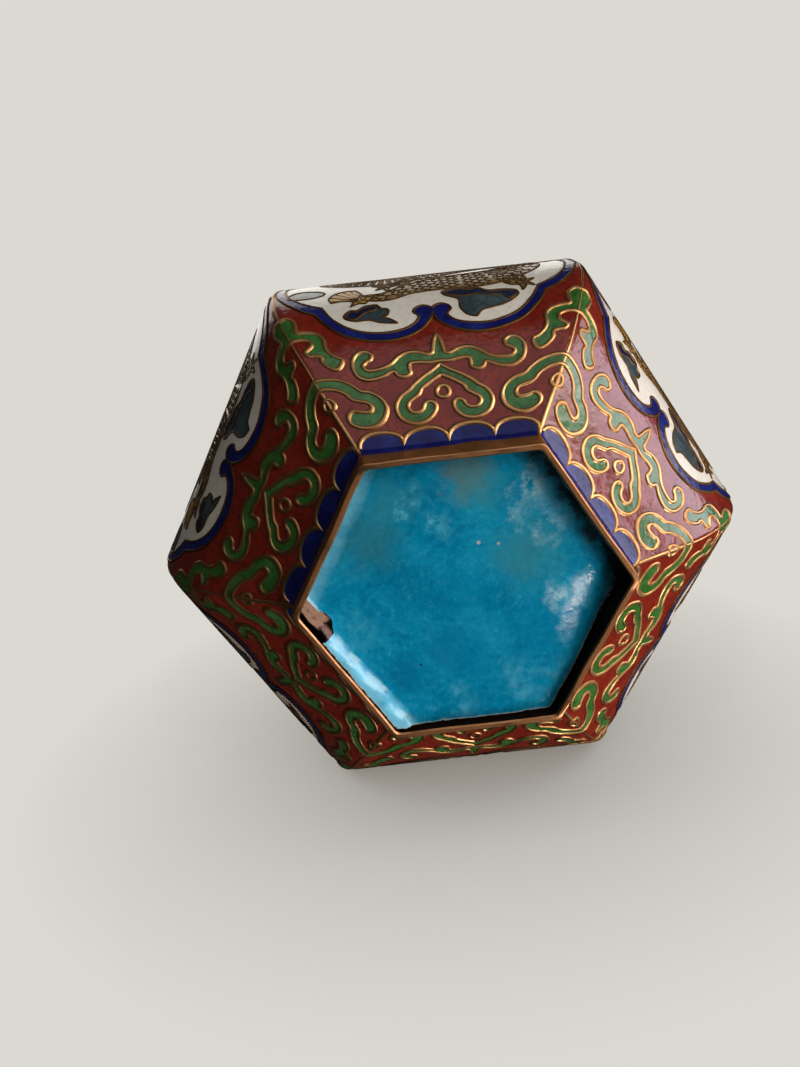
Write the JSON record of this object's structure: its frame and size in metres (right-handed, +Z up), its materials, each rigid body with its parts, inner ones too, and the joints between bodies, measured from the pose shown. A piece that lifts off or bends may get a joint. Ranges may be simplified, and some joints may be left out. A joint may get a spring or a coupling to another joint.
{
  "type": "cloisonne jar",
  "caption": "Hexagonal cloisonne jar of enamelled copper with a swelling belly, open flared mouth and bare gilt foot ring around a recessed turquoise base; stands on its foot.",
  "frame": {"origin": "centre of the foot's underside, on the surface that the jar stands on", "axes": "+Z up along the jar's axis, from foot to mouth; the middle of one face is towards -Y and a ridge is towards +X"},
  "size_m": [0.084, 0.0732, 0.062],
  "materials": {
    "red_enamel": "glossy",
    "gilt_copper": "worn satin",
    "turquoise_enamel": "glossy"
  },
  "bodies": {
    "root": {"body": "red_enamel", "foot_ring": "gilt_copper", "base_plate": "turquoise_enamel"}
  },
  "joints": []
}
